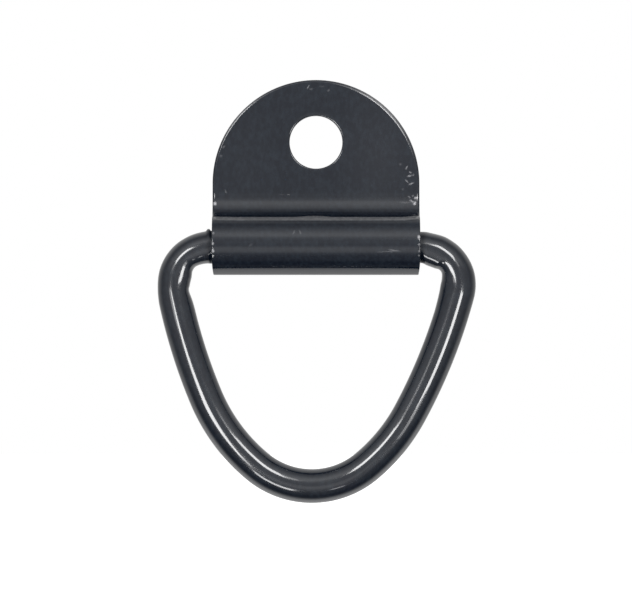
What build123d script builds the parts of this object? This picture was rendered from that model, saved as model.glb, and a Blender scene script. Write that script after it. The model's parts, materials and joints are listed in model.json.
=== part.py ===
"""Surface mount rope ring: a bent rod loop that swings in a barrel rolled from its own fixing tab.

Frame: the origin is the centre of the bolt hole, on the plane of the wall that the tab is fixed to.
+Z is up, X runs along the barrel, and the part stands out from the wall towards -Y.
The loop is drawn as it hangs. All sizes are in millimetres.
"""

import os
from math import asin, atan2, cos, degrees, hypot, radians, sin

from build123d import *

# Rod and its loop, with each bend measured to the rod's centre.
ROD_DIAMETER = 8.15       # 5/16 in bar under its coat
RING_DROP = 57.4          # bar's axis down to the rod's centre at the nose
SHOULDER_GAP = 0.25       # barrel's end to the start of the first bend
CORNER_RADIUS = 9.1       # bend at each shoulder
ARM_RADIUS = 131.0        # slow outward bow of each arm
FLANK_RADIUS = 43.5       # between an arm and the nose
NOSE_RADIUS = 20.5        # bottom of the loop
NOSE_HALF_ANGLE = 39.8    # degrees of the nose bend on each side of its lowest point
NOSE_OFFSET = -1.0        # the loop's nose hangs a little to one side
BUTT_GAP = 1.0            # between the rod's two ends, hidden halfway along the barrel

# Sheet bracket.
SHEET_THICKNESS = 2.66    # 12 gauge
BRACKET_WIDTH = 49.8
HOLE_DIAMETER = 12.7
HOLE_TO_TOP = 15.0        # hole's centre up to the top of the round end
HOLE_TO_BARREL = 24.9     # hole's centre down to the barrel's axis
FOOT_RADIUS = 4.5         # hollow bend where the tab turns out over the barrel
BORE_CLEARANCE = 0.33     # rod's radial play in the barrel
SEAT_GAP = 0.05           # left under the rod, which hangs on the bottom of the bore
SEAM_GAP = 0.6            # the rolled end stops this far short of the foot's underside
EDGE_BREAK = 0.35         # front edges, broken by tumbling
BORE_EDGE_BREAK = 0.3     # mouths of the barrel, broken so that the rod can't catch
HOLE_EDGE_BREAK = 0.25    # front edge of the bolt hole

# Worked out from the sizes above.
ROD_RADIUS = ROD_DIAMETER / 2
BORE_RADIUS = ROD_RADIUS + BORE_CLEARANCE
BARREL_RADIUS = BORE_RADIUS + SHEET_THICKNESS
FOOT_BACK_RADIUS = FOOT_RADIUS + SHEET_THICKNESS
HALF_WIDTH = BRACKET_WIDTH / 2
BARREL_AXIS = (-FOOT_BACK_RADIUS, -HOLE_TO_BARREL)
FOOT_AXIS = (-FOOT_BACK_RADIUS, -HOLE_TO_BARREL + BARREL_RADIUS + FOOT_RADIUS)
BAR_Z = -HOLE_TO_BARREL - BORE_CLEARANCE + SEAT_GAP


def around(centre, radius, angle):
    """Point on a circle at an angle in degrees."""
    return (
        centre[0] + radius * cos(radians(angle)),
        centre[1] + radius * sin(radians(angle)),
    )


def arc(centre, radius, start, end):
    """Arc about a centre from one angle to another, in degrees."""
    return ThreePointArc(
        around(centre, radius, start),
        around(centre, radius, (start + end) / 2),
        around(centre, radius, end),
    )


def seam_angle():
    """Angle on the barrel, up from the wall's side, where the rolled end stops under the foot."""
    rise = FOOT_AXIS[1] - BARREL_AXIS[1]
    reach = FOOT_BACK_RADIUS + SEAM_GAP
    height = (rise**2 + BARREL_RADIUS**2 - reach**2) / (2 * rise * BARREL_RADIUS)
    return degrees(asin(height))


def bracket_section():
    """Section of the folded sheet, seen along the barrel: across is Y, up is Z."""
    end = seam_angle()
    outline = [
        Line((0, HOLE_TO_TOP), (0, FOOT_AXIS[1])),
        arc(FOOT_AXIS, FOOT_BACK_RADIUS, 0, -90),
        arc(BARREL_AXIS, BORE_RADIUS, 90, 360 + end),
        Line(around(BARREL_AXIS, BORE_RADIUS, end), around(BARREL_AXIS, BARREL_RADIUS, end)),
        arc(BARREL_AXIS, BARREL_RADIUS, 360 + end, 90),
        arc(FOOT_AXIS, FOOT_RADIUS, -90, 0),
        Line((-SHEET_THICKNESS, FOOT_AXIS[1]), (-SHEET_THICKNESS, HOLE_TO_TOP)),
        Line((-SHEET_THICKNESS, HOLE_TO_TOP), (0, HOLE_TO_TOP)),
    ]
    return Plane.YZ * make_face(Curve() + outline)


def tab_outline():
    """Front view of the sheet: a half round end over straight sides."""
    round_z = HOLE_TO_TOP - HALF_WIDTH
    depth = 2 * HOLE_TO_BARREL
    sides = Pos(0, round_z - depth / 2) * Rectangle(BRACKET_WIDTH, depth)
    return Plane.XZ * (Pos(0, round_z) * Circle(HALF_WIDTH) + sides)


def on_circle(edge, radius):
    """Whether an edge is an arc or circle of this radius."""
    return edge.geom_type == GeomType.CIRCLE and abs(edge.radius - radius) < 1e-4


def build_bracket():
    """One sheet: round-ended tab, hollow foot and rolled barrel."""
    bracket = extrude(bracket_section(), HALF_WIDTH, both=True)
    bracket &= extrude(tab_outline(), 3 * BARREL_RADIUS, both=True)
    bracket -= Rot(X=90) * Cylinder(HOLE_DIAMETER / 2, 4 * SHEET_THICKNESS)

    at_front = [e for e in bracket.edges() if abs(e.center().Y + SHEET_THICKNESS) < 1e-4]
    rim = [e for e in at_front if on_circle(e, HALF_WIDTH)]
    bracket = chamfer(rim, EDGE_BREAK)
    mouths = [e for e in bracket.edges() if on_circle(e, BORE_RADIUS)]
    bracket = chamfer(mouths, BORE_EDGE_BREAK)
    hole = [e for e in bracket.edges() if on_circle(e, HOLE_DIAMETER / 2)]
    return chamfer([min(hole, key=lambda e: e.center().Y)], HOLE_EDGE_BREAK)


def enclosing_centre(first, first_radius, second, second_radius, radius):
    """Centre of the arc that runs round two circles, touching each, with both on its left."""
    from_first = radius - first_radius
    from_second = radius - second_radius
    span = hypot(second[0] - first[0], second[1] - first[1])
    along = (from_first**2 - from_second**2 + span**2) / (2 * span)
    aside = (from_first**2 - along**2) ** 0.5
    ux = (second[0] - first[0]) / span
    uy = (second[1] - first[1]) / span
    return (first[0] + along * ux - aside * uy, first[1] + along * uy + aside * ux)


def bearing(centre, point):
    """Direction from one point to another, in degrees."""
    return degrees(atan2(point[1] - centre[1], point[0] - centre[0]))


def half_loop(side):
    """Centre line of half the rod from its butt end to the nose: side is +1 or -1 along X."""
    nose = (side * NOSE_OFFSET, BAR_Z - RING_DROP + NOSE_RADIUS)
    turn = -90 + NOSE_HALF_ANGLE
    flank = around(nose, FLANK_RADIUS - NOSE_RADIUS, turn + 180)
    corner = (HALF_WIDTH + SHOULDER_GAP, BAR_Z - CORNER_RADIUS)
    arm = enclosing_centre(flank, FLANK_RADIUS, corner, CORNER_RADIUS, ARM_RADIUS)
    arm_top = bearing(arm, corner)
    arm_foot = bearing(arm, flank)
    edges = Curve() + [
        Line((BUTT_GAP / 2, BAR_Z), (corner[0], BAR_Z)),
        arc(corner, CORNER_RADIUS, 90, arm_top),
        arc(arm, ARM_RADIUS, arm_top, arm_foot),
        arc(flank, FLANK_RADIUS, arm_foot, turn),
        arc(nose, NOSE_RADIUS, turn, -90),
    ]
    return edges if side > 0 else mirror(edges, Plane.YZ)


def build_ring():
    """One round bar bent to a loop, its ends meeting inside the barrel."""
    route = Wire((half_loop(1) + half_loop(-1)).edges())
    route = Pos(0, BARREL_AXIS[0], 0) * Rot(X=90) * route
    return sweep((route ^ 0) * Circle(ROD_RADIUS), path=route)


def main():
    os.makedirs("parts", exist_ok=True)
    parts = {"bracket": build_bracket(), "ring": build_ring()}
    for name, shape in parts.items():
        export_step(shape, f"parts/{name}.step")
        box = shape.bounding_box()
        print(name, "volume", round(shape.volume, 1), "from", box.min, "to", box.max)


if __name__ == "__main__":
    main()
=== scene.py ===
# %% [markdown]
# # A surface mount rope ring
#
# The real object is two pieces of black-coated steel. A sheet bracket is cut flat and then folded,
# so that its lower end rolls into a barrel, and a bent rod loop swings in that barrel.
# This file dresses the imported CAD frame: it builds both pieces again as smooth meshes,
# gives them a gloss coat with small marks, painted highlights and painted shade, and lights
# them as the photograph does.

import json
import math

import bmesh
import bpy
from mathutils import Matrix, Vector


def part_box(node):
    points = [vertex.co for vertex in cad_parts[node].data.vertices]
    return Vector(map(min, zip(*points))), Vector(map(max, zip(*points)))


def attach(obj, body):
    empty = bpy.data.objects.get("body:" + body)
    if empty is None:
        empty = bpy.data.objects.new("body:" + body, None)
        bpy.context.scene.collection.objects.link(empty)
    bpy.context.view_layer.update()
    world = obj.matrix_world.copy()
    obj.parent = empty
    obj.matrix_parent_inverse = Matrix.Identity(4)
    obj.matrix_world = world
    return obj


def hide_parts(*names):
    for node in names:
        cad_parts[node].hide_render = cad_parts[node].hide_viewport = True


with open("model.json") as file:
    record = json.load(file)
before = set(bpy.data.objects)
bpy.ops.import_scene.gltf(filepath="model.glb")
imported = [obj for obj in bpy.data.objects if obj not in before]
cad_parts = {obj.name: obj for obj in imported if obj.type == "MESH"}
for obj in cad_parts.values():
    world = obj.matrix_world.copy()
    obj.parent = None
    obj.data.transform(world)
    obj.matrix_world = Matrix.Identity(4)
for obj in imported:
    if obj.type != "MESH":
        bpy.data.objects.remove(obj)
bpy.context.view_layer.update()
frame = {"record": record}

# %% [markdown]
# ## Sizes
#
# Most sizes are read from the frame, so the meshes follow the CAD if it changes.
# The few that a box can't give, such as the bends of the loop, are named here in millimetres.

# %% Sizes from the frame
MM = 0.001


def mount(name):
    """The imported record's mount of that name."""
    return next(m for m in frame["record"]["mounts"] if m["name"] == name)


ring_low, ring_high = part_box("ring")
bracket_low, bracket_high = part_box("bracket")
swing = frame["record"]["behaviour"]["joints"][0]
BAR_Y, BAR_Z = swing["pos_m"][1], swing["pos_m"][2]
ROD_RADIUS = (ring_high.y - ring_low.y) / 2
RING_DROP = BAR_Z - ROD_RADIUS - ring_low.z

SHEET = mount("bolt_hole")["dims"]["length_mm"] * MM
HOLE_RADIUS = mount("bolt_hole")["dims"]["r_mm"] * MM
HALF_WIDTH = bracket_high.x
TAB_TOP = bracket_high.z
BARREL_RADIUS = BAR_Y - bracket_low.y
BARREL_Z = bracket_low.z + BARREL_RADIUS
FOOT_RADIUS = -BAR_Y - SHEET
FOOT_Z = BARREL_Z + BARREL_RADIUS + FOOT_RADIUS
print("rod radius", ROD_RADIUS, "sheet", SHEET, "barrel radius", BARREL_RADIUS, "drop", RING_DROP)

# %% [markdown]
# ## Camera, white surroundings and studio light
#
# The photograph looks straight at the front from far away, against pure white.
# A long lens from over a metre keeps the barrel and the tab nearly the same width, as there.

# %% Camera
PHOTO_WIDTH = 632
PIXELS_PER_MM = 4.17
HOLE_ROW = 141.7          # the bolt hole's centre in the photograph, in pixels from the top
PHOTO_HEIGHT = 594
CAMERA_DISTANCE = 1.37    # metres from the loop's plane
SENSOR = 36.0

camera_data = bpy.data.cameras.new("camera")
camera_data.sensor_width = SENSOR
camera_data.lens = SENSOR / PHOTO_WIDTH * PIXELS_PER_MM * CAMERA_DISTANCE / MM
camera_data.clip_end = 20
camera = bpy.data.objects.new("camera", camera_data)
camera_z = (HOLE_ROW - PHOTO_HEIGHT / 2) / PIXELS_PER_MM * MM
camera.location = (0, BAR_Y - CAMERA_DISTANCE, camera_z)
camera.rotation_euler = (math.pi / 2, 0, 0)
bpy.context.collection.objects.link(camera)
bpy.context.scene.camera = camera
bpy.context.scene.view_settings.view_transform = "Standard"
print("lens", round(camera_data.lens, 1), "mm")

# %% [markdown]
# A node tree is easier to read when every node is made by one short call.
# `node` adds a node, sets its properties and fills or links its inputs.


# %% Node helper
def node(tree, kind, inputs=None, **properties):
    """Adds a node; an input is a value, or a socket to link from."""
    made = tree.nodes.new(kind)
    for name, value in properties.items():
        setattr(made, name, value)
    for key, value in (inputs or {}).items():
        if isinstance(value, bpy.types.NodeSocket):
            tree.links.new(value, made.inputs[key])
        else:
            made.inputs[key].default_value = value
    return made


def ramp(tree, factor, stops):
    """Colour ramp through grey levels given as (position, level)."""
    made = node(tree, "ShaderNodeValToRGB", {"Fac": factor})
    elements = made.color_ramp.elements
    while len(elements) < len(stops):
        elements.new(0.5)
    for element, (position, level) in zip(elements, stops):
        element.position = position
        element.color = (level, level, level, 1)
    return made.outputs["Color"]


def mix_colour(tree, factor, first, second):
    """Blend of two colours."""
    return node(
        tree, "ShaderNodeMix", {0: factor, 6: first, 7: second}, data_type="RGBA"
    ).outputs[2]


print("node helpers ready")

# %% [markdown]
# Gloss black shows only what it mirrors, so the surroundings make the picture.
# The camera sees plain white. The coat sees white behind the part, a dark ring at its sides,
# and a dim pale room in front, which is what the bands on the rod and the barrel show.

# %% World
# Rows are a depth and a brightness: 0 is towards the camera, 0.5 square to its axis, 1 behind.
# Level headings, high ones and low ones have a ramp each, and blend over these two bands of height.
HIGH_BAND = (0.2, 0.5)
LOW_BAND = (-0.15, -0.55)
ROOM_SIDE = [
    (0, 0.5), (0.012, 0.57), (0.06, 0.54), (0.2, 0.48),
    (0.36, 0.36), (0.52, 0.26), (0.7, 0.4), (1, 0.5),
]
ROOM_HIGH = [
    (0.02, 0.52), (0.07, 0.75), (0.105, 1.1), (0.15, 1.1), (0.21, 0.88), (0.28, 0.65),
    (0.36, 0.45), (0.45, 0.32), (0.52, 0.28), (0.72, 0.6), (1, 0.55),
]
ROOM_LOW = [
    (0, 0.5), (0.05, 0.55), (0.08, 0.41), (0.124, 0.26), (0.24, 0.2), (0.33, 0.1),
    (0.42, 0.1), (0.485, 0.14), (0.58, 0.62), (0.68, 1.05), (0.81, 0.85), (0.94, 0.55),
]

world = bpy.data.worlds.new("studio")
bpy.context.scene.world = world
world.use_nodes = True
sky = world.node_tree
sky.nodes.clear()
heading = node(sky, "ShaderNodeTexCoord").outputs["Generated"]
parts = node(sky, "ShaderNodeSeparateXYZ", {"Vector": heading})
depth = node(
    sky, "ShaderNodeMapRange", {"Value": parts.outputs["Y"], "From Min": -1.0, "From Max": 1.0}
).outputs[0]


def height_mask(start, end):
    """0 at one height of the heading, 1 at another."""
    return node(
        sky,
        "ShaderNodeMapRange",
        {"Value": parts.outputs["Z"], "From Min": start, "From Max": end},
        interpolation_type="SMOOTHSTEP",
    ).outputs[0]


room = ramp(sky, depth, ROOM_SIDE)
room = mix_colour(sky, height_mask(*HIGH_BAND), room, ramp(sky, depth, ROOM_HIGH))
room = mix_colour(sky, height_mask(*LOW_BAND), room, ramp(sky, depth, ROOM_LOW))
seen = node(sky, "ShaderNodeLightPath").outputs["Is Camera Ray"]
colour = mix_colour(sky, seen, room, (1, 1, 1, 1))
light = node(sky, "ShaderNodeBackground", {"Color": colour, "Strength": 1.0})
node(sky, "ShaderNodeOutputWorld", {"Surface": light.outputs[0]})
print("world made with", len(ROOM_SIDE) + len(ROOM_HIGH) + len(ROOM_LOW), "grey levels")

# %% [markdown]
# Soft lights stand round the camera, most of them 23 to 31 degrees off its axis. The four large
# ones each draw their own stretch of the bright line along the rod, and the gaps between them are
# where the line fades. Dimmer ones beside them let a stretch die away slowly. Two low patches draw
# the line low on the nose, and two broad faint cards lift the middle of the barrel.


# %% Lights
LIGHT_DISTANCE = 0.6


def soft_light(name, side, clock, off_axis, width, length, brightness, lean):
    """Rectangular light that shines at the part, its long side round the camera's axis.

    Side is -1 for left and 1 for right, clock the angle above level, and off_axis the angle from
    the camera's axis, in degrees. Lean turns the long side outwards. Brightness 1 mirrors as white.
    """
    data = bpy.data.lights.new(name, "AREA")
    data.shape = "RECTANGLE"
    data.size = width
    data.size_y = length
    data.energy = brightness * math.pi * width * length
    turn, off, tilt = (math.radians(angle) for angle in (clock, off_axis, lean))
    level, upright = side * math.cos(turn), math.sin(turn)
    away = Vector((math.sin(off) * level, -math.cos(off), math.sin(off) * upright))
    round_axis = Vector((-side * math.sin(turn), 0, math.cos(turn)))
    outward = Vector((math.cos(off) * level, math.sin(off), math.cos(off) * upright))
    along = round_axis * math.cos(tilt) + outward * math.sin(tilt)
    lamp = bpy.data.objects.new(name, data)
    across = along.cross(away)
    lamp.matrix_world = Matrix((across, along, away)).transposed().to_4x4()
    lamp.location = Vector((0, BAR_Y, camera_z)) + away * LIGHT_DISTANCE
    bpy.context.collection.objects.link(lamp)


# Name, side, clock, degrees off the axis, width, length, brightness and lean.
LIGHTS = [
    ("upper_left", -1, 43, 29, 0.14, 0.14, 11, 0),
    ("upper_left_end", -1, 25, 29, 0.12, 0.05, 1.3, 0),
    ("upper_right", 1, 50.5, 31, 0.15, 0.175, 10, 0),
    ("upper_right_top", 1, 73, 31, 0.12, 0.063, 2, 0),
    ("upper_right_end", 1, 29, 31, 0.12, 0.053, 1.3, 0),
    ("lower_left", -1, -30.5, 22.8, 0.19, 0.135, 11, 26),
    ("lower_left_end", -1, -9, 28, 0.14, 0.06, 2.5, 0),
    ("lower_left_tail", -1, -49.5, 28.5, 0.12, 0.036, 4, 0),
    ("lower_right", 1, -18.5, 28, 0.17, 0.106, 11, 0),
    ("lower_right_tail", 1, -35, 27.5, 0.15, 0.063, 2.2, 0),
    ("low_left_patch", -1, -66.5, 42.5, 0.10, 0.185, 8, 0),
    ("low_right_patch", 1, -75, 40, 0.06, 0.055, 3, 0),
    ("front_card", 1, -90, 14.5, 0.17, 0.16, 0.15, 0),
    ("front_card_edge", 1, -90, 14.2, 0.29, 0.18, 0.12, 0),
]
for values in LIGHTS:
    soft_light(*values)
print("lights", [values[0] for values in LIGHTS])

# %% [markdown]
# ## Floor
#
# The floor lies under the hanging part. Only the camera sees it, so it adds no glow from below,
# and it keeps a soft shadow.

# %% Floor
FLOOR_GAP = 0.03
FLOOR_SIZE = 3.0
FLOOR_GREY = 0.9
FLOOR_GLOW = 0.8          # its own light, so that it reads as white as the backdrop


def make_floor():
    """A pale plane under the part."""
    mesh = bpy.data.meshes.new("floor")
    edge = FLOOR_SIZE / 2
    z = ring_low.z - FLOOR_GAP
    corners = [(-edge, -edge, z), (edge, -edge, z), (edge, edge, z), (-edge, edge, z)]
    mesh.from_pydata(corners, [], [(0, 1, 2, 3)])
    plane = bpy.data.objects.new("floor", mesh)
    bpy.context.collection.objects.link(plane)
    paint = bpy.data.materials.new("pale_floor")
    paint.use_nodes = True
    tree = paint.node_tree
    tree.nodes.clear()
    grey = (FLOOR_GREY, FLOOR_GREY, FLOOR_GREY, 1)
    matt = node(tree, "ShaderNodeBsdfDiffuse", {"Color": grey})
    glow = node(tree, "ShaderNodeEmission", {"Color": (1, 1, 1, 1), "Strength": FLOOR_GLOW})
    lit = node(tree, "ShaderNodeAddShader", {0: matt.outputs[0], 1: glow.outputs[0]})
    clear = node(tree, "ShaderNodeBsdfTransparent")
    seen = node(tree, "ShaderNodeLightPath").outputs["Is Camera Ray"]
    mix = node(tree, "ShaderNodeMixShader", {0: seen, 1: clear.outputs[0], 2: lit.outputs[0]})
    node(tree, "ShaderNodeOutputMaterial", {"Surface": mix.outputs[0]})
    mesh.materials.append(paint)
    return plane


floor = make_floor()
print("floor at z", round(ring_low.z - FLOOR_GAP, 4))

# %% [markdown]
# ## The coat
#
# Both pieces have the same hard black coat with a faint blue cast. It is very glossy on the rod
# and a little duller on the sheet. No dipped coat is quite even, so one shader group gives both
# of them a fine ripple, a roughness that drifts, and a speckled blue-grey haze.


# %% Ripple and haze of the coat
CLOUD_SCALE = 180.0               # slow drift of the roughness and of the haze
STREAK_SCALE = 1300.0             # speckle of the haze, drawn out a little upwards
STREAK_STRETCH = (1.0, 1.0, 0.6)
CLOUD_SHARE = 0.35                # how much the drift adds to the speckle
HAZE_FROM, HAZE_TO = 0.4, 0.75    # noise levels where the haze starts and is full


def make_ripple_group():
    """Shader group: unevenness of a dipped coat, as a height, a roughness and a haze."""
    group = bpy.data.node_groups.new("coat_ripple", "ShaderNodeTree")
    for name, in_out in (
        ("Size", "INPUT"),
        ("Roughness", "INPUT"),
        ("Spread", "INPUT"),
        ("Height", "OUTPUT"),
        ("Roughness", "OUTPUT"),
        ("Haze", "OUTPUT"),
    ):
        group.interface.new_socket(name, in_out=in_out, socket_type="NodeSocketFloat")
    given = node(group, "NodeGroupInput")
    place = node(group, "ShaderNodeTexCoord").outputs["Object"]
    scale = node(group, "ShaderNodeMath", {0: 1.0, 1: given.outputs["Size"]}, operation="DIVIDE")
    grain = node(
        group, "ShaderNodeTexNoise", {"Vector": place, "Scale": scale.outputs[0], "Detail": 3.0}
    )
    cloud = node(
        group, "ShaderNodeTexNoise", {"Vector": place, "Scale": CLOUD_SCALE, "Detail": 2.0}
    )
    shift = node(group, "ShaderNodeMath", {0: cloud.outputs[0], 1: 0.5}, operation="SUBTRACT")
    change = node(
        group,
        "ShaderNodeMath",
        {0: shift.outputs[0], 1: given.outputs["Spread"], 2: given.outputs["Roughness"]},
        operation="MULTIPLY_ADD",
    )
    stretched = node(group, "ShaderNodeMapping", {"Vector": place, "Scale": STREAK_STRETCH})
    streaks = node(
        group,
        "ShaderNodeTexNoise",
        {"Vector": stretched.outputs[0], "Scale": STREAK_SCALE, "Detail": 4.0},
    )
    patchy = node(
        group,
        "ShaderNodeMath",
        {0: shift.outputs[0], 1: CLOUD_SHARE, 2: streaks.outputs[0]},
        operation="MULTIPLY_ADD",
    )
    haze = node(
        group,
        "ShaderNodeMapRange",
        {"Value": patchy.outputs[0], "From Min": HAZE_FROM, "From Max": HAZE_TO},
    )
    node(
        group,
        "NodeGroupOutput",
        {"Height": grain.outputs[0], "Roughness": change.outputs[0], "Haze": haze.outputs[0]},
    )
    return group


RIPPLE = make_ripple_group()
print("group", RIPPLE.name)

# %% [markdown]
# The sheet carries small pale spots, partly chips where the coat is knocked through or dusty and
# partly painted glints: a row near the right edge, some at the top and beside the bend, and
# painted glints at the barrel's corners.
# Each is an ellipse at its own place, made ragged by a fine noise. The last two are so large and
# so faint that they only make the tab's sides a little paler than its middle.

# %% Chips and painted glints on the sheet
# Millimetres right of and above the bolt hole's centre, half length, half width, turn and strength.
CHIPS = [
    (20.3, -5.3, 0.35, 0.3, 0, 0.1), (21.8, -6.1, 0.45, 0.2, 60, 0.35),
    (22.7, -7.2, 0.35, 0.2, -30, 0.4), (22.5, -8.1, 0.45, 0.22, 10, 0.5),
    (23.4, -7.9, 0.3, 0.18, 80, 0.25), (21.9, -9.4, 0.5, 0.18, -45, 0.35),
    (22.9, -10.0, 0.6, 0.18, 20, 0.4), (20.9, -11.3, 0.3, 0.25, 0, 0.1),
    (22.4, -13.2, 0.4, 0.2, -35, 0.25), (23.3, -12.9, 0.25, 0.2, 0, 0.3),
    (24.0, -13.4, 0.35, 0.3, 30, 0.75), (23.1, -14.2, 0.6, 0.22, -20, 0.5),
    (23.75, -14.7, 0.45, 0.3, 60, 1.0), (21.5, -14.5, 1.3, 0.2, -3, 0.12),
    (-1.9, 13.3, 0.45, 0.16, 65, 0.35), (-1.2, 12.8, 0.4, 0.2, 10, 0.1),
    (3.0, 12.5, 0.35, 0.22, 40, 0.13), (1.4, 13.4, 0.6, 0.2, 0, 0.06),
    (-22.2, -1.1, 0.35, 0.25, 50, 0.16), (-22.9, -3.3, 0.35, 0.3, -20, 0.12),
    (-21.7, -11.9, 0.45, 0.18, -65, 0.17), (-24.3, -14.8, 0.38, 0.34, 70, 0.9),
    (-6.6, -12.6, 0.35, 0.13, 5, 0.22), (-8.2, -12.6, 0.6, 0.1, 0, 0.05),
    (-5.3, -21.8, 0.45, 0.2, 70, 0.12), (-3.8, -21.8, 0.45, 0.22, -70, 0.14),
    (-15.6, -24.9, 0.45, 0.25, 30, 0.06), (-24.65, -24.5, 0.35, 0.27, 90, 0.7),
    (-24.6, -26.25, 0.4, 0.3, 90, 0.75), (-24.5, -22.0, 0.3, 0.25, 90, 0.3),
    (24.5, -22.9, 0.38, 0.25, 80, 0.85), (24.65, -24.7, 0.28, 0.25, 0, 0.4),
    (24.7, -26.3, 0.3, 0.25, 60, 0.35), (17.4, -26.4, 2.2, 0.12, 1, 0.13),
    (18.6, -26.1, 1.1, 0.2, -6, 0.22), (15.6, -26.5, 0.9, 0.1, 2, 0.08),
    (15.5, -3.0, 15.0, 8.0, 90, 0.016), (-17.0, -5.0, 12.0, 6.0, 90, 0.005),
]
CHIP_RAGGED = 0.45 * MM
CHIP_NOISE = 1800.0
CHIP_CLEAR, CHIP_FULL = 1.5, 0.1       # shares of the ellipse where it starts and is strongest
FRONT_CLEAR, FRONT_FULL = -0.15, -0.4  # how far a face looks forward before it shows the spots


def make_chip_group():
    """Shader group: how strong the pale spots, chips and painted glints, are at a place, 0 to 1."""
    group = bpy.data.node_groups.new("coat_chips", "ShaderNodeTree")
    group.interface.new_socket("Chip", in_out="OUTPUT", socket_type="NodeSocketFloat")
    place = node(group, "ShaderNodeTexCoord").outputs["Object"]
    ragged = node(
        group, "ShaderNodeTexNoise", {"Vector": place, "Scale": CHIP_NOISE, "Detail": 2.0}
    )
    centred = node(
        group,
        "ShaderNodeVectorMath",
        {0: ragged.outputs["Color"], 1: (0.5, 0.5, 0.5)},
        operation="SUBTRACT",
    )
    moved = node(
        group,
        "ShaderNodeVectorMath",
        {0: centred.outputs[0], 1: (CHIP_RAGGED, 0, CHIP_RAGGED), 2: place},
        operation="MULTIPLY_ADD",
    ).outputs[0]
    total = None
    for x, z, half_length, half_width, turn, strength in CHIPS:
        scaled = node(
            group,
            "ShaderNodeMapping",
            {
                "Vector": moved,
                "Location": (x * MM, 0, z * MM),
                "Rotation": (0, -math.radians(turn), 0),
                "Scale": (half_length * MM, 1000, half_width * MM),
            },
            vector_type="TEXTURE",
        )
        reach = node(group, "ShaderNodeVectorMath", {0: scaled.outputs[0]}, operation="LENGTH")
        spot = node(
            group,
            "ShaderNodeMapRange",
            {
                "Value": reach.outputs["Value"],
                "From Min": CHIP_CLEAR,
                "From Max": CHIP_FULL,
                "To Min": 0.0,
                "To Max": strength,
            },
        ).outputs[0]
        if total is not None:
            most = node(group, "ShaderNodeMath", {0: total, 1: spot}, operation="MAXIMUM")
            spot = most.outputs[0]
        total = spot
    # Only what faces the front gets the spots, not the sheet's back or the barrel's end faces.
    normal = node(group, "ShaderNodeTexCoord").outputs["Normal"]
    facing = node(group, "ShaderNodeSeparateXYZ", {"Vector": normal}).outputs["Y"]
    front = node(
        group,
        "ShaderNodeMapRange",
        {"Value": facing, "From Min": FRONT_CLEAR, "From Max": FRONT_FULL},
    )
    both = node(
        group, "ShaderNodeMath", {0: total, 1: front.outputs[0]}, operation="MULTIPLY"
    )
    node(group, "NodeGroupOutput", {"Chip": both.outputs[0]})
    return group


CHIPPED = make_chip_group()
print("chips", len(CHIPS))

# %% [markdown]
# Each coat is one Principled shader: a rough dark base under a clear glossy layer. On the sheet,
# the base goes pale at chips, painted glints and painted highlights, and chips and glints have no
# gloss. On the rod, the gloss is taken away only in the groove beside the barrel, as painted shade.

# %% Materials
HAZE_TINT = (0.7, 1.0, 1.25)
# Painted highlight colour, on the barrel's raised strip and the rim's shoulders.
HIGHLIGHT_COLOUR = (0.2, 0.2, 0.205, 1)
# Pale colour of chips in the coat and of painted glints.
CHIP_COLOUR = (0.5, 0.5, 0.52, 1)
HIGHLIGHT_LEAST, HIGHLIGHT_VARIES = 0.85, 0.4    # the painted highlight is uneven, as the haze is


def coat_material(name, colour, haze, rough, ripple, gloss, under_shine, chips_and_highlights=False):
    """Black coat; the last argument is for the sheet, and adds its painted highlights, chips and
    painted glints. Without it, the rod gets painted shade beside the barrel.

    Rough is the base's roughness and how far it drifts, ripple the size and the depth of the
    unevenness in metres, and gloss the clear layer's roughness and index.
    """
    material = bpy.data.materials.new(name)
    material.use_nodes = True
    tree = material.node_tree
    tree.nodes.clear()
    effect = node(tree, "ShaderNodeGroup", node_tree=RIPPLE)
    effect.inputs["Size"].default_value = ripple[0]
    effect.inputs["Roughness"].default_value = rough[0]
    effect.inputs["Spread"].default_value = rough[1]
    bump = node(
        tree,
        "ShaderNodeBump",
        {"Height": effect.outputs["Height"], "Distance": ripple[1], "Strength": 1.0},
    )
    hazy = effect.outputs["Haze"]
    dusty = tuple(part + haze * tint for part, tint in zip(colour, HAZE_TINT))
    base = mix_colour(tree, hazy, (*colour, 1), (*dusty, 1))
    if chips_and_highlights:
        # The painted highlights are kept on the mesh, and the chips and painted glints are drawn by
        # their group.
        line = node(tree, "ShaderNodeAttribute", attribute_name="painted_highlight").outputs["Fac"]
        uneven = node(
            tree,
            "ShaderNodeMath",
            {0: hazy, 1: HIGHLIGHT_VARIES, 2: HIGHLIGHT_LEAST},
            operation="MULTIPLY_ADD",
        )
        line = node(tree, "ShaderNodeMath", {0: line, 1: uneven.outputs[0]}, operation="MULTIPLY")
        base = mix_colour(tree, line.outputs[0], base, HIGHLIGHT_COLOUR)
        # Chips and painted glints turn the base pale and take its gloss.
        dull = node(tree, "ShaderNodeGroup", node_tree=CHIPPED).outputs["Chip"]
        base = mix_colour(tree, dull, base, CHIP_COLOUR)
    else:
        # Painted shade: the rod's gloss is taken away beside the barrel.
        dull = node(tree, "ShaderNodeAttribute", attribute_name="painted_shade").outputs["Fac"]
    weight = node(tree, "ShaderNodeMath", {0: 1.0, 1: dull}, operation="SUBTRACT")
    body = node(
        tree,
        "ShaderNodeBsdfPrincipled",
        {
            "Base Color": base,
            "Roughness": effect.outputs["Roughness"],
            "Normal": bump.outputs[0],
            "Specular IOR Level": under_shine,
            "Coat Weight": weight.outputs[0],
            "Coat Roughness": gloss[0],
            "Coat IOR": gloss[1],
        },
    )
    node(tree, "ShaderNodeOutputMaterial", {"Surface": body.outputs[0]})
    return material


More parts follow.
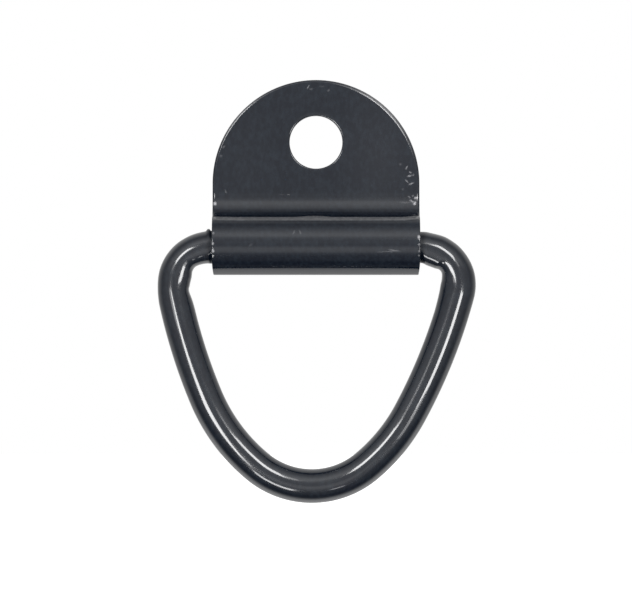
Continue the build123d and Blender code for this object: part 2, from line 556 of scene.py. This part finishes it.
ring_coat = coat_material(
    "rod_gloss_black",
    colour=(0.001, 0.0033, 0.009),
    haze=0.008,
    rough=(0.16, 0.1),
    ripple=(0.003, 5e-6),
    gloss=(0.05, 1.5),
    under_shine=0.5,
)
bracket_coat = coat_material(
    "sheet_gloss_black",
    colour=(0.0, 0.0024, 0.0084),
    haze=0.0085,
    rough=(0.4, 0.15),
    ripple=(0.001, 1e-5),
    gloss=(0.09, 1.7),
    under_shine=0.0,
    chips_and_highlights=True,
)
print("materials", ring_coat.name, bracket_coat.name)

# %% [markdown]
# ## The loop
#
# The loop is a straight bar bent along tangent arcs: a tight bend at each shoulder, a slow bow
# in each arm, and a wider bend round each flank into the nose. So its centre line is worked out
# from a few radii, as the bender sets them, and a circle is swept along it.

# %% Sizes of the loop
SHOULDER_GAP = 0.25 * MM
CORNER_RADIUS = 9.1 * MM
ARM_RADIUS = 131.0 * MM
FLANK_RADIUS = 43.5 * MM
NOSE_RADIUS = 20.5 * MM
NOSE_HALF_ANGLE = 39.8
NOSE_OFFSET = -1.0 * MM
BUTT_GAP = 1.0 * MM
STEP = 0.3 * MM           # between points of the centre line


def around(centre, radius, angle):
    """Point on a circle at an angle in degrees."""
    a = math.radians(angle)
    return (centre[0] + radius * math.cos(a), centre[1] + radius * math.sin(a))


def bearing(start, end):
    """Direction from one point to another, in degrees."""
    return math.degrees(math.atan2(end[1] - start[1], end[0] - start[0]))


def enclosing_centre(first, first_radius, second, second_radius, radius):
    """Centre of the arc that runs round two circles, touching each, with both on its left."""
    a, b = radius - first_radius, radius - second_radius
    dx, dz = second[0] - first[0], second[1] - first[1]
    span = math.hypot(dx, dz)
    along = (a * a - b * b + span * span) / (2 * span)
    aside = math.sqrt(a * a - along * along)
    return (
        first[0] + (along * dx - aside * dz) / span,
        first[1] + (along * dz + aside * dx) / span,
    )


def arc_points(centre, radius, start, end):
    """Points along an arc, without its first one, each with the direction to the centre."""
    count = max(2, round(abs(math.radians(end - start)) * radius / STEP))
    for k in range(1, count + 1):
        angle = start + (end - start) * k / count
        yield around(centre, radius, angle), around((0, 0), -1.0, angle)


def bell(value, middle, spread):
    """1 at the middle, falling off smoothly to each side."""
    return math.exp(-(((value - middle) / spread) ** 2))


print("loop's radii", CORNER_RADIUS, ARM_RADIUS, FLANK_RADIUS, NOSE_RADIUS)

# %% [markdown]
# A tight bend isn't a clean arc. The bender's tools press the bar, so its inner side goes blunt
# and both its edges are drawn in, a little differently left and right. The tables give this along
# each bend. A burr and a groove are on top of the bar beside the barrel, where it was gripped, and
# the groove's gloss is taken away as painted shade where the rod meets the barrel.

# %% Pressed bends, burr and groove
# Rows are a share of the bend's length, then millimetres drawn in.
INSIDE_LEFT = [
    (0.04, 0), (0.08, 0.1), (0.15, 0.17), (0.23, 0.3), (0.31, 0.47), (0.38, 0.62), (0.42, 0.68),
    (0.46, 0.65), (0.54, 0.47), (0.61, 0.17), (0.65, 0.02), (0.73, -0.1), (0.84, -0.04),
    (0.92, 0.1), (0.96, 0.22), (1.0, 0.44), (1.04, 0.46), (1.12, 0.25), (1.2, 0.08), (1.3, 0),
]
OUTSIDE_LEFT = [
    (-0.1, 0), (0, 0.3), (0.08, 0.34), (0.1, 0.36), (0.3, 0.38), (0.4, 0.33),
    (0.7, 0.32), (0.85, 0.37), (0.93, 0.34), (1.0, 0.18), (1.12, 0),
]
INSIDE_RIGHT = [
    (-0.1, 0), (-0.03, 0.15), (0.02, 0.2), (0.06, 0.05), (0.08, 0), (0.12, -0.12),
    (0.17, -0.22), (0.25, -0.2), (0.38, 0.06), (0.42, 0.26), (0.46, 0.56), (0.5, 0.72),
    (0.54, 0.75), (0.58, 0.7), (0.61, 0.58), (0.65, 0.38), (0.73, 0.07), (0.77, -0.06),
    (0.84, -0.3), (0.95, -0.39), (1.1, -0.25), (1.3, -0.12), (2.0, -0.08), (3.0, 0),
]
OUTSIDE_RIGHT = [
    (-0.1, 0), (0, 0.58), (0.04, 0.4), (0.08, 0.52), (0.12, 0.57), (0.19, 0.48), (0.25, 0.34),
    (0.34, 0.31), (0.42, 0.21), (0.5, 0.18), (0.6, 0.1), (0.73, 0),
]
# How far the bend's inner side is pressed from a round towards a blunt section, 0 to 1.
BLUNT_LEFT = [
    (-0.01, 0), (0.04, 0.42), (0.32, 0.42), (0.44, 0.05), (0.6, 0.38), (0.72, 0.5),
    (1.0, 0.3), (1.2, 0),
]
BLUNT_RIGHT = [
    (-0.01, 0), (0.045, 0.5), (0.12, 0.68), (0.37, 0.68), (0.43, 0.15), (0.6, 0.1), (0.8, 0),
]
DRAW_EASE = 0.03                      # shares of the bend over which a kink is eased
BLUNT_EASE = 0.012
SPUR_PLACE = HALF_WIDTH + 0.7 * MM    # burr on top of the rod beside the barrel's left end
SPUR_HEIGHT = 0.7 * MM
SPUR_SPREAD = 0.27 * MM
NECK_PLACE = HALF_WIDTH + 0.4 * MM    # groove beside both ends of the barrel
NECK_SPREAD = 0.4 * MM
NECK = 0.1                            # share of the rod's radius lost in it
# Painted shade beside the barrel's ends, made by taking the coat's gloss away.
SHADE_PLACE = HALF_WIDTH + 0.45 * MM
SHADE_SPREAD = 0.6 * MM
SHADE_GLOSS_LOSS = 0.9                          # share of the gloss taken away there, as painted shade


def read_table(table, share, ease):
    """Value between the table's rows, eased over a short stretch so that no kink shows."""
    total = 0.0
    spread = (-ease, -ease / 2, 0.0, ease / 2, ease)
    for shift in spread:
        at = share + shift
        if at <= table[0][0]:
            total += table[0][1]
            continue
        if at >= table[-1][0]:
            total += table[-1][1]
            continue
        for (low, low_value), (high, high_value) in zip(table, table[1:]):
            if low <= at < high:
                total += low_value + (high_value - low_value) * (at - low) / (high - low)
    return total / len(spread)


def bend_shape(side, share):
    """Draw of the bend's inside and outside, and its bluntness; share runs 0 to 1 along it."""
    if side < 0:
        tables = (INSIDE_LEFT, OUTSIDE_LEFT, BLUNT_LEFT)
    else:
        tables = (INSIDE_RIGHT, OUTSIDE_RIGHT, BLUNT_RIGHT)
    inside, outside = (read_table(table, share, DRAW_EASE) for table in tables[:2])
    return inside * MM, outside * MM, read_table(tables[2], share, BLUNT_EASE)


print("most drawn in", max(value for _, value in INSIDE_RIGHT), "mm")


# %% Centre line of the loop
def half_loop(side):
    """Points (x, z), inward directions, draws and bluntness, from the butt end to the nose."""
    nose = (side * NOSE_OFFSET, BAR_Z - RING_DROP + NOSE_RADIUS)
    turn = -90 + NOSE_HALF_ANGLE
    flank = around(nose, FLANK_RADIUS - NOSE_RADIUS, turn + 180)
    corner = (HALF_WIDTH + SHOULDER_GAP, BAR_Z - CORNER_RADIUS)
    arm = enclosing_centre(flank, FLANK_RADIUS, corner, CORNER_RADIUS, ARM_RADIUS)
    arm_top, arm_foot = bearing(arm, corner), bearing(arm, flank)
    bend_length = CORNER_RADIUS * math.radians(90 - arm_top)
    rows = []

    def add(place, inward, share):
        rows.append(
            ((side * place[0], place[1]), (side * inward[0], inward[1]), *bend_shape(side, share))
        )

    straight = corner[0] - BUTT_GAP / 2
    count = round(straight / STEP)
    for k in range(count + 1):
        reach = BUTT_GAP / 2 + straight * k / count
        add((reach, BAR_Z), (0, -1), (reach - corner[0]) / bend_length)
    for place, inward in arc_points(corner, CORNER_RADIUS, 90, arm_top):
        add(place, inward, (90 - bearing(corner, place)) / (90 - arm_top))
    run = 1.0
    for centre, radius, start, end in (
        (arm, ARM_RADIUS, arm_top, arm_foot),
        (flank, FLANK_RADIUS, arm_foot, turn),
        (nose, NOSE_RADIUS, turn, -90),
    ):
        points = list(arc_points(centre, radius, start, end))
        stride = math.radians(abs(end - start)) * radius / len(points) / bend_length
        for place, inward in points:
            run += stride
            add(place, inward, run)
    return rows


def loop_line():
    """An object of one open line of edges, with the rod's shaping kept on its points."""
    rows = half_loop(1) + half_loop(-1)[-2::-1]
    mesh = bpy.data.meshes.new("loop_of_rod")
    points = [(x, BAR_Y, z) for (x, z), *_ in rows]
    mesh.from_pydata(points, [(k, k + 1) for k in range(len(points) - 1)], [])
    inward = mesh.attributes.new("inward", "FLOAT_VECTOR", "POINT")
    for item, row in zip(inward.data, rows):
        item.vector = (row[1][0], 0, row[1][1])

    kept = {"draw_in": [], "draw_out": [], "blunt": [], "girth": [], "painted_shade": []}
    for (x, z), _, draw_in, draw_out, blunt in rows:
        top = z > BAR_Z - MM       # the straight side and the start of each bend
        spur = SPUR_HEIGHT * bell(-x, SPUR_PLACE, SPUR_SPREAD) * top
        kept["draw_in"].append(draw_in)
        kept["draw_out"].append(draw_out - spur)
        kept["blunt"].append(blunt)
        kept["girth"].append(1 - NECK * bell(abs(x), NECK_PLACE, NECK_SPREAD) * top)
        # Painted shade: the share of the gloss taken away beside the barrel.
        kept["painted_shade"].append(SHADE_GLOSS_LOSS * bell(abs(x), SHADE_PLACE, SHADE_SPREAD) * top)
    for name, values in kept.items():
        mesh.attributes.new(name, "FLOAT", "POINT").data.foreach_set("value", values)

    line = bpy.data.objects.new("loop_of_rod", mesh)
    bpy.context.collection.objects.link(line)
    return line


ring_line = loop_line()
print("centre line points", len(ring_line.data.vertices))

# %% [markdown]
# A curve swept by Geometry Nodes gives the whole bar in one go. After the sweep, each point knows
# its place on the line and which way the bend's inside lies, so the tree can draw the inner and
# the outer side in, and make the inner side blunt, by the amounts kept on the line.


# %% Geometry Nodes tree that sweeps the rod
ROD_SIDES = 64
INSIDE_POWER, OUTSIDE_POWER = 4.0, 1.5    # the higher, the nearer to the edge the draw stays


def sweep_tree():
    """Line in, coated rod out, with named sizes."""
    tree = bpy.data.node_groups.new("rod_sweep", "GeometryNodeTree")
    face = tree.interface
    face.new_socket("Geometry", in_out="INPUT", socket_type="NodeSocketGeometry")
    face.new_socket("Rod Radius", in_out="INPUT", socket_type="NodeSocketFloat")
    face.new_socket("Sides", in_out="INPUT", socket_type="NodeSocketInt")
    face.new_socket("Coat", in_out="INPUT", socket_type="NodeSocketMaterial")
    face.new_socket("Geometry", in_out="OUTPUT", socket_type="NodeSocketGeometry")
    given = node(tree, "NodeGroupInput")
    here = node(tree, "GeometryNodeInputPosition").outputs[0]
    kept = node(
        tree,
        "GeometryNodeStoreNamedAttribute",
        {"Geometry": given.outputs["Geometry"], "Name": "centre", "Value": here},
        data_type="FLOAT_VECTOR",
    )
    curve = node(tree, "GeometryNodeMeshToCurve", {"Mesh": kept.outputs[0]})

    def attribute(name, kind="FLOAT"):
        return node(
            tree, "GeometryNodeInputNamedAttribute", {"Name": name}, data_type=kind
        ).outputs[0]

    def maths(operation, first, second):
        return node(tree, "ShaderNodeMath", {0: first, 1: second}, operation=operation).outputs[0]

    girth = node(
        tree,
        "GeometryNodeSetCurveRadius",
        {"Curve": curve.outputs[0], "Radius": attribute("girth")},
    )
    circle = node(
        tree,
        "GeometryNodeCurvePrimitiveCircle",
        {"Resolution": given.outputs["Sides"], "Radius": given.outputs["Rod Radius"]},
    )
    swept = node(
        tree,
        "GeometryNodeCurveToMesh",
        {"Curve": girth.outputs[0], "Profile Curve": circle.outputs[0], "Fill Caps": True},
    )

    # A bend's inside and outside are each drawn towards the rod's centre by their own amount.
    inward = attribute("inward", "FLOAT_VECTOR")
    centre = attribute("centre", "FLOAT_VECTOR")
    off = node(tree, "ShaderNodeVectorMath", {0: here, 1: centre}, operation="SUBTRACT")
    reach = node(
        tree, "ShaderNodeVectorMath", {0: off.outputs[0], 1: inward}, operation="DOT_PRODUCT"
    )
    share = maths("DIVIDE", reach.outputs["Value"], given.outputs["Rod Radius"])
    inside = maths("POWER", maths("MAXIMUM", share, 0.0), INSIDE_POWER)
    facing_out = maths("MAXIMUM", maths("MULTIPLY", share, -1.0), 0.0)
    outside = maths("POWER", facing_out, OUTSIDE_POWER)
    pulled = maths("MULTIPLY", inside, attribute("draw_in"))
    pushed = maths("MULTIPLY", outside, attribute("draw_out"))
    amount = maths("SUBTRACT", pushed, pulled)
    pull = node(tree, "ShaderNodeVectorMath", {0: inward, "Scale": amount}, operation="SCALE")
    # Where the bend is pressed blunt, its inner side is deeper, front to back, than a round one.
    inner = maths("MINIMUM", maths("MAXIMUM", share, 0.0), 1.0)
    round_depth = maths("SQRT", maths("SUBTRACT", 1.0, maths("POWER", inner, 2.0)), 0.0)
    blunt_depth = maths("POWER", maths("SUBTRACT", 1.0, maths("POWER", inner, 4.0)), 0.25)
    ratio = maths("DIVIDE", blunt_depth, maths("MAXIMUM", round_depth, 0.001))
    fuller = maths("MULTIPLY", maths("SUBTRACT", ratio, 1.0), attribute("blunt"))
    sideways = node(
        tree, "ShaderNodeVectorMath", {0: off.outputs[0], 1: (0, 1, 0)}, operation="MULTIPLY"
    )
    swollen = node(
        tree, "ShaderNodeVectorMath", {0: sideways.outputs[0], "Scale": fuller}, operation="SCALE"
    )
    move = node(
        tree, "ShaderNodeVectorMath", {0: pull.outputs[0], 1: swollen.outputs[0]}, operation="ADD"
    )
    moved = node(
        tree,
        "GeometryNodeSetPosition",
        {"Geometry": swept.outputs[0], "Offset": move.outputs[0]},
    )
    smooth = node(tree, "GeometryNodeSetShadeSmooth", {"Geometry": moved.outputs[0]})
    whole = node(tree, "GeometryNodeRealizeInstances", {"Geometry": smooth.outputs[0]})
    coated = node(
        tree,
        "GeometryNodeSetMaterial",
        {"Geometry": whole.outputs[0], "Material": given.outputs["Coat"]},
    )
    node(tree, "NodeGroupOutput", {"Geometry": coated.outputs[0]})
    return tree


ROD_TREE = sweep_tree()
print("tree", ROD_TREE.name, "with", len(ROD_TREE.nodes), "nodes")


# %% Sweep the rod
def apply_tree(source, tree, values, name):
    """Runs a tree on an object and returns its result as a plain mesh object."""
    modifier = source.modifiers.new("tree", "NODES")
    modifier.node_group = tree
    for item in tree.interface.items_tree:
        if item.item_type == "SOCKET" and item.in_out == "INPUT" and item.name in values:
            modifier[item.identifier] = values[item.name]
    graph = bpy.context.evaluated_depsgraph_get()
    graph.update()
    mesh = bpy.data.meshes.new_from_object(source.evaluated_get(graph), depsgraph=graph)
    mesh.name = name
    bpy.data.objects.remove(source)
    made = bpy.data.objects.new(name, mesh)
    bpy.context.collection.objects.link(made)
    return made


ring_piece = apply_tree(
    ring_line,
    ROD_TREE,
    {"Rod Radius": ROD_RADIUS, "Sides": ROD_SIDES, "Coat": ring_coat},
    "rod_loop",
)


def close_and_turn_out(piece):
    """Merges doubled points and makes every face point outwards; says how many edges stay open."""
    work = bmesh.new()
    work.from_mesh(piece.data)
    bmesh.ops.remove_doubles(work, verts=work.verts, dist=1e-7)
    bmesh.ops.recalc_face_normals(work, faces=work.faces)
    loose = sum(1 for edge in work.edges if len(edge.link_faces) != 2)
    work.to_mesh(piece.data)
    work.free()
    return loose


open_edges = close_and_turn_out(ring_piece)
print("loop faces", len(ring_piece.data.polygons), "open edges", open_edges)

# %% [markdown]
# ## The bracket
#
# The real bracket is a flat blank with a round end and a hole, tumbled until its edges are
# rounded, and then folded. Here the tab is drawn flat and the folded part row by row: a row says
# where a line across the sheet lies, and which way the sheet's thickness points there.

# %% Rows of the folded sheet
SEAM_GAP = 0.6 * MM
RIM_RADIUS = 0.6 * MM        # front edge of the round end
RIM_EXTRA = 0.35 * MM        # and how much wider it is rounded at the right shoulder
END_RADIUS = 0.2 * MM        # front edge at the barrel's ends
END_TAPER = 0.3 * MM         # how far each end of the rolled part is set in below
BACK_RADIUS = 0.25 * MM
HOLE_EDGE = 0.35 * MM
FRONT_STEPS = 6
BACK_STEPS = 3
COLUMNS = 96
FOOT_STEPS = 36
FINE_TURN, COARSE_TURN = 1.0, 3.0    # degrees between the barrel's rows, fine up to FINE_UNTIL
FINE_UNTIL = 135
TAPER_TURN = (116, 175)      # degrees past the barrel's top line where its ends are set in
EASE_RADIUS = 8.2 * MM       # the bend into the foot starts wide
EASE_ANGLE = 30              # and tightens from here on
ease_sine = math.sin(math.radians(EASE_ANGLE))
ease_cosine = math.cos(math.radians(EASE_ANGLE))
TIGHT_RADIUS = (FOOT_RADIUS - EASE_RADIUS * (1 - ease_cosine)) / ease_cosine
TIGHT_Z = FOOT_Z - FOOT_RADIUS + TIGHT_RADIUS
BEND_START = TIGHT_Z + (EASE_RADIUS - TIGHT_RADIUS) * ease_sine


def seam_angle():
    """Angle on the barrel, up from the wall's side, where the rolled end stops under the foot."""
    rise = FOOT_Z - BARREL_Z
    reach = FOOT_RADIUS + SHEET + SEAM_GAP
    return math.degrees(
        math.asin((rise**2 + BARREL_RADIUS**2 - reach**2) / (2 * rise * BARREL_RADIUS))
    )


def foot_row(angle):
    """Row in the hollow bend, which is wide first and then tight: angle 0 at the tab, 90 below."""
    a = math.radians(angle)
    out = (math.cos(a), -math.sin(a))
    if angle < EASE_ANGLE:
        centre = (-SHEET - EASE_RADIUS, BEND_START)
        radius = EASE_RADIUS
    else:
        centre = (BAR_Y, TIGHT_Z)
        radius = TIGHT_RADIUS
    return (centre[0] + radius * out[0], centre[1] + radius * out[1]), out


def barrel_row(angle):
    """Row on the barrel: angle 90 at its top, 180 at the front, 360 at the wall's side."""
    a = math.radians(angle)
    out = (math.cos(a), math.sin(a))
    place = (BAR_Y + BARREL_RADIUS * out[0], BARREL_Z + BARREL_RADIUS * out[1])
    return place, (-out[0], -out[1])


def sheet_rows():
    """Every row below the flat tab: front face's place, way into the sheet, edge radius, turn.

    The turn is how far the sheet is rolled past the barrel's top line, in degrees: None above it.
    """
    rows = []
    for k in range(1, FOOT_STEPS + 1):
        share = k / FOOT_STEPS
        edge = RIM_RADIUS + (END_RADIUS - RIM_RADIUS) * share
        rows.append((*foot_row(90 * share), edge, None))
    angle = 90.0
    last = 360 + seam_angle()
    while angle < last - 0.01:
        angle = min(last, angle + (FINE_TURN if angle < FINE_UNTIL else COARSE_TURN))
        rows.append((*barrel_row(angle), END_RADIUS, angle - 90))
    return rows


print("seam at", round(seam_angle(), 1), "degrees, rows", len(sheet_rows()))

# %% [markdown]
# A cut edge catches the light because it is rounded. Its profile is a quarter circle at the front,
# a straight wall and a smaller quarter circle at the back, and it goes round the tab by stations.


# %% Rim of the sheet
SIDE_STEPS, ARC_STEPS = 8, 120


def rim_profile(front_radius):
    """Steps across the rim from the front face to the back: (inset, depth)."""
    steps = []
    for k in range(FRONT_STEPS + 1):
        a = math.radians(90 * k / FRONT_STEPS)
        steps.append((front_radius * (1 - math.sin(a)), front_radius * (1 - math.cos(a))))
    for k in range(BACK_STEPS + 1):
        a = math.radians(90 * k / BACK_STEPS)
        depth = SHEET - BACK_RADIUS * (1 - math.sin(a))
        steps.append((BACK_RADIUS * (1 - math.cos(a)), depth))
    return steps


def tab_stations():
    """Rim of the flat tab from its lower right corner round the top to its lower left."""
    round_z = TAB_TOP - HALF_WIDTH
    heights = [BEND_START + (round_z - BEND_START) * k / SIDE_STEPS for k in range(SIDE_STEPS)]
    stations = [((HALF_WIDTH, z), (1, 0)) for z in heights]
    for k in range(ARC_STEPS + 1):
        a = math.pi * k / ARC_STEPS
        out = (math.cos(a), math.sin(a))
        stations.append(((HALF_WIDTH * out[0], round_z + HALF_WIDTH * out[1]), out))
    return stations + [((-HALF_WIDTH, z), (-1, 0)) for z in reversed(heights)]


print("steps across the rim", len(rim_profile(RIM_RADIUS)), "stations", len(tab_stations()))

# %% [markdown]
# A low raised strip runs along the top of the barrel, painted pale as a highlight.
# It widens upwards for a short way at the middle and climbs at the ends, most at the right.
# The round rim has painted highlights too, at its two shoulders. Both are kept on the points of
# the mesh, so the material can turn them pale wherever they go.

# %% Raised strip and rim, with painted highlights
STRIP_TOP = 2.25 * MM        # from the barrel's top line, along its front
STRIP_FOOT = 4.05 * MM
STRIP_HEIGHT = 0.16 * MM
STRIP_SOFT = 0.45 * MM
BULGE_RISE = 1.4 * MM
BULGE_REACH = 5.2 * MM
BULGE_PLACE = -0.4 * MM
LEFT_CLIMB, RIGHT_CLIMB = 0.4 * MM, 2.2 * MM
CLIMB_REACH = 6 * MM         # from each end
FOOT_CLIMB = 0.25            # share of the climb that the strip's lower side follows
# How pale the strip's painted highlight is.
STRIP_HIGHLIGHT = 0.55
END_FADE = 0.6 * MM
# How pale the rim's painted highlights are.
RIM_HIGHLIGHT = 0.9
# Where the round rim has painted highlights: strength, angle up from the right, and spread, both in
# degrees.
RIM_HIGHLIGHT_PLACES = [(1.1, 49, 18), (0.85, 137, 15)]
HIGHLIGHT_ACROSS = (0, 0.8, 0.95, 0.7, 0.4, 0.4, 0.3)    # for each step from the front face on
WIDE_RIM = (45, 30)          # where the rim is rounded wider, and the spread


def smooth_step(low, high, value):
    """0 below low, 1 above high, smooth between."""
    t = min(1.0, max(0.0, (value - low) / (high - low)))
    return t * t * (3 - 2 * t)


def strip_share(x, arc):
    """How far a place on the barrel belongs to the strip, 0 to 1."""
    climb = RIGHT_CLIMB * smooth_step(HALF_WIDTH - CLIMB_REACH, HALF_WIDTH, x) ** 2
    climb += LEFT_CLIMB * smooth_step(HALF_WIDTH - CLIMB_REACH, HALF_WIDTH, -x)
    bulge = BULGE_RISE * (1 - smooth_step(0, BULGE_REACH, abs(x - BULGE_PLACE)))
    top = STRIP_TOP - climb - bulge
    foot = STRIP_FOOT - FOOT_CLIMB * climb
    entering = smooth_step(top - STRIP_SOFT / 2, top + STRIP_SOFT / 2, arc)
    leaving = 1 - smooth_step(foot - STRIP_SOFT, foot + STRIP_SOFT, arc)
    return entering * leaving


def rim_bell(out, middle, spread):
    """1 where the rim faces out at the middle angle, falling off to each side."""
    return bell(math.degrees(math.atan2(out[1], out[0])), middle, spread)


def rim_highlight_at(out, step):
    """How strong the round rim's painted highlight is at one of its steps, where it faces out this
    way.
    """
    if step >= len(HIGHLIGHT_ACROSS):
        return 0.0
    painted_highlight = sum(strength * rim_bell(out, *where) for strength, *where in RIM_HIGHLIGHT_PLACES)
    return RIM_HIGHLIGHT * painted_highlight * HIGHLIGHT_ACROSS[step]


print("strip", STRIP_TOP, "to", STRIP_FOOT)

# %% [markdown]
# ### The flat tab
#
# The rim is a stack of loops of points, one for each step across the sheet's edge, from the front
# to the back. Each flat face is a set of rings that shrink from the rim to the hole, which keeps
# its faces even and its shading smooth.

# %% Flat tab
FLAT_RINGS = 6
FLAT_CROWD = 0.9             # under 1, the rings crowd a little towards the hole
HOLE_STEPS = 4
HOLE_BACK_EDGE = 0.2 * MM


def tab_point(work, x, z, depth):
    """New point of the flat tab, at a depth behind its front face."""
    return work.verts.new((x, -SHEET + depth, z))


def join_rings(work, first, second, closed=True):
    """Faces between two rows of points."""
    for k in range(len(first) if closed else len(first) - 1):
        m = (k + 1) % len(first)
        work.faces.new((first[k], first[m], second[m], second[k]))


def tab_rim(work, painted_highlight):
    """Loops of points round the tab's open rim, front to back, joined by faces."""
    stations = tab_stations()
    radii = [RIM_RADIUS + RIM_EXTRA * rim_bell(out, *WIDE_RIM) for _, out in stations]
    profiles = [rim_profile(radius) for radius in radii]
    loops = []
    for step in range(len(profiles[0])):
        loop = []
        for ((x, z), out), steps in zip(stations, profiles):
            inset, depth = steps[step]
            point = tab_point(work, x - out[0] * inset, z - out[1] * inset, depth)
            # Painted highlight on the rim's shoulders.
            point[painted_highlight] = rim_highlight_at(out, step)
            loop.append(point)
        loops.append(loop)
    for outer, inner in zip(loops, loops[1:]):
        join_rings(work, outer, inner, closed=False)
    return loops


def bottom_line(work, left, right, depth):
    """Points along the tab's lower edge, from one point of its rim to another."""
    line = [left]
    for k in range(1, COLUMNS):
        x = left.co.x + (right.co.x - left.co.x) * k / COLUMNS
        line.append(tab_point(work, x, BEND_START, depth))
    return line + [right]


def flat_face(work, outline, depth, radius):
    """Rings of faces from an outline in to the hole; returns the last ring."""
    angles = [math.atan2(v.co.z, v.co.x) for v in outline]
    last = outline
    for k in range(1, FLAT_RINGS + 1):
        share = (k / FLAT_RINGS) ** FLAT_CROWD
        ring = []
        for v, a in zip(outline, angles):
            goal = Vector((radius * math.cos(a), radius * math.sin(a)))
            place = Vector((v.co.x, v.co.z)).lerp(goal, share)
            ring.append(tab_point(work, place.x, place.y, depth))
        join_rings(work, last, ring)
        last = ring
    return last


def hole_profile():
    """Steps through the hole from the front face to the back: (growth, depth)."""
    steps = []
    for k in range(HOLE_STEPS + 1):
        a = math.radians(90 * k / HOLE_STEPS)
        steps.append((HOLE_EDGE * (1 - math.sin(a)), HOLE_EDGE * (1 - math.cos(a))))
    return steps + [(0.0, SHEET - HOLE_BACK_EDGE), (HOLE_BACK_EDGE, SHEET)]


def tab_faces(work, front_outline, back_outline):
    """Front and back of the tab, and the wall of its hole between them."""
    steps = hole_profile()
    front = flat_face(work, front_outline, steps[0][1], HOLE_RADIUS + steps[0][0])
    back = flat_face(work, back_outline, steps[-1][1], HOLE_RADIUS + steps[-1][0])
    last = front
    for grow, depth in steps[1:-1]:
        radius = HOLE_RADIUS + grow
        angles = [math.atan2(v.co.z, v.co.x) for v in front]
        ring = [tab_point(work, radius * math.cos(a), radius * math.sin(a), depth) for a in angles]
        join_rings(work, last, ring)
        last = ring
    join_rings(work, last, back)


print("steps through the hole", len(hole_profile()))

# %% [markdown]
# ### Foot, barrel and cut end
#
# Below the tab, every row is a closed section of the sheet: front, right edge, back, left edge.
# Joining each row to the one before it folds the sheet down over the rod and round it. The last
# row is the cut end, which is closed between its front and back lines.


# %% Build the folded sheet
def sheet_section(work, painted_highlight, row):
    """Closed ring of points round the sheet at one row; the strip's painted highlight is kept on
    its front.
    """
    (y, z), (ny, nz), edge, turn = row
    half = HALF_WIDTH - END_TAPER * smooth_step(*TAPER_TURN, turn or 0)

    def point(x, depth):
        return work.verts.new((x, y + ny * depth, z + nz * depth))

    steps = rim_profile(edge)
    reach = half - steps[0][0]
    front = []
    for k in range(COLUMNS + 1):
        x = (2 * k / COLUMNS - 1) * reach
        share = 0.0 if turn is None else strip_share(x, math.radians(turn) * BARREL_RADIUS)
        fade = smooth_step(0, END_FADE, reach - abs(x))
        made = point(x, -STRIP_HEIGHT * share * fade)
        # Painted highlight along the raised strip.
        made[painted_highlight] = STRIP_HIGHLIGHT * share * (0.5 + 0.5 * fade)
        front.append(made)
    right, left = [], []
    for inset, depth in steps[1:-1]:
        right.append(point(half - inset, depth))
        left.append(point(inset - half, depth))
    inset, depth = steps[-1]
    back = [point((1 - 2 * k / COLUMNS) * (half - inset), depth) for k in range(COLUMNS + 1)]
    return front + right + back + left[::-1]


def close_cut_end(work, last):
    """Faces over the end of the sheet, in strips between its front and back lines."""
    sides = FRONT_STEPS + BACK_STEPS
    front = last[: COLUMNS + 1]
    right = last[COLUMNS + 1 : COLUMNS + 1 + sides]
    back = last[COLUMNS + 1 + sides : 2 * COLUMNS + 2 + sides]
    left = last[2 * COLUMNS + 2 + sides :][::-1]
    for k in range(COLUMNS):
        work.faces.new((front[k], back[COLUMNS - k], back[COLUMNS - k - 1], front[k + 1]))
    work.faces.new([front[-1], back[0]] + right[::-1])
    work.faces.new([front[0]] + left + [back[-1]])


def build_sheet():
    """Folded sheet as one closed mesh."""
    work = bmesh.new()
    # How pale each point is painted, as a highlight on the strip and the rim.
    painted_highlight = work.verts.layers.float.new("painted_highlight")
    loops = tab_rim(work, painted_highlight)
    front_line = bottom_line(work, loops[0][-1], loops[0][0], 0.0)
    back_line = bottom_line(work, loops[-1][-1], loops[-1][0], SHEET)
    tab_faces(work, loops[0] + front_line[1:-1], loops[-1] + back_line[1:-1])

    right_edge = [loop[0] for loop in loops[1:-1]]
    left_edge = [loop[-1] for loop in loops[1:-1]]
    last = front_line + right_edge + back_line[::-1] + left_edge[::-1]
    for row in sheet_rows():
        ring = sheet_section(work, painted_highlight, row)
        for k in range(len(ring)):
            m = (k + 1) % len(ring)
            work.faces.new((last[k], ring[k], ring[m], last[m]))
        last = ring
    close_cut_end(work, last)

    bmesh.ops.recalc_face_normals(work, faces=work.faces)
    for face in work.faces:
        face.smooth = True
    mesh = bpy.data.meshes.new("folded_sheet")
    work.to_mesh(mesh)
    work.free()
    sheet = bpy.data.objects.new("folded_sheet", mesh)
    bpy.context.collection.objects.link(sheet)
    mesh.materials.append(bracket_coat)
    return sheet


bracket_piece = build_sheet()
open_edges = close_and_turn_out(bracket_piece)
print("sheet faces", len(bracket_piece.data.polygons), "open edges", open_edges)

# %% [markdown]
# A rounded rim beside a flat face shades best when each corner's normal follows the larger face.
# The Weighted Normal modifier does that, and its result is kept as a plain mesh.


# %% Weighted normals
FACE_WEIGHT = 80


def keep_weighted_normals(piece):
    """Keeps face-weighted normals in the piece's own mesh."""
    weigh = piece.modifiers.new("weigh", "WEIGHTED_NORMAL")
    weigh.keep_sharp = True
    weigh.weight = FACE_WEIGHT
    graph = bpy.context.evaluated_depsgraph_get()
    graph.update()
    mesh = bpy.data.meshes.new_from_object(piece.evaluated_get(graph), depsgraph=graph)
    piece.modifiers.clear()
    piece.data = mesh


keep_weighted_normals(bracket_piece)
print("normals kept on", bracket_piece.name)

# %% [markdown]
# ## Join the pieces to the frame
#
# Each mesh stands for its CAD node and moves with that node's body.

# %% Ride, replace and finish
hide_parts("ring")
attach(ring_piece, "ring")
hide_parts("bracket")
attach(bracket_piece, "bracket")
